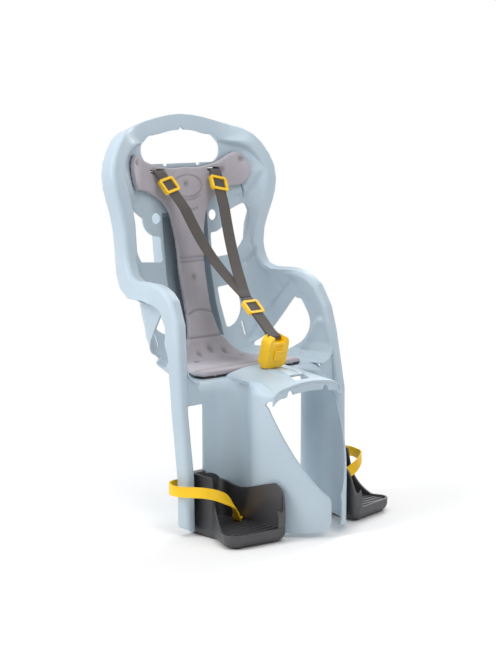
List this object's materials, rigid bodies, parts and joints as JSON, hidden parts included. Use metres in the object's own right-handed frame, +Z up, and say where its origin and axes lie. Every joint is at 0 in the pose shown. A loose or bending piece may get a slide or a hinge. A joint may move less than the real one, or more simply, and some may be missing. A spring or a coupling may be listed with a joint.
{
  "type": "child bike seat",
  "caption": "Rear child bike seat: one-piece moulded shell with high back, foam pad, strap harness with buckle, wheel guards and sliding footrests.",
  "frame": {"origin": "underside of the seat pan, in the middle of the four carrier bolt holes", "axes": "+Z up, -Y to the front of the seat (the child's feet), +X to the child's left as drawn, on the mid-plane at X = 0"},
  "size_m": [0.435, 0.4227, 0.7052],
  "materials": {
    "shell": "satin moulded polypropylene",
    "pad": "soft embossed foam",
    "webbing": "woven webbing",
    "yellow": "satin moulded plastic",
    "footrest": "matte moulded plastic",
    "keeper": "matte moulded plastic",
    "strap_rubber": "smooth rubber",
    "steel": "zinc plated"
  },
  "bodies": {
    "seat": {"seat_shell": "shell", "seat_pad": "pad", "shoulder_strap_left": "webbing", "shoulder_strap_right": "webbing", "crotch_strap": "webbing", "strap_adjuster_left": "yellow", "strap_adjuster_right": "yellow", "strap_adjuster_lower": "yellow", "strap_keeper_left": "keeper", "strap_keeper_right": "keeper", "buckle_housing": "yellow", "buckle_tongue": "yellow", "buckle_screws": "steel"},
    "left_footrest": {"footrest_left": "footrest", "footrest_slide_left": "footrest", "footrest_screws_left": "steel", "foot_strap_left": "strap_rubber"},
    "right_footrest": {"footrest_right": "footrest", "footrest_slide_right": "footrest", "footrest_screws_right": "steel", "foot_strap_right": "strap_rubber"},
    "button": {"buckle_button": "yellow"}
  },
  "joints": [
    {"name": "footrest_left_slide", "type": "slide", "parent": "seat", "child": "left_footrest", "axis": [0, 0, 1], "range_m": [0, 0.115]},
    {"name": "footrest_right_slide", "type": "slide", "parent": "seat", "child": "right_footrest", "axis": [0, 0, 1], "range_m": [0, 0.115]},
    {"name": "buckle_button_press", "type": "slide", "parent": "seat", "child": "button", "axis": [0, 0.9703, 0.2419], "range_m": [0, 0.003], "stiffness_N_per_m": 900}
  ]
}
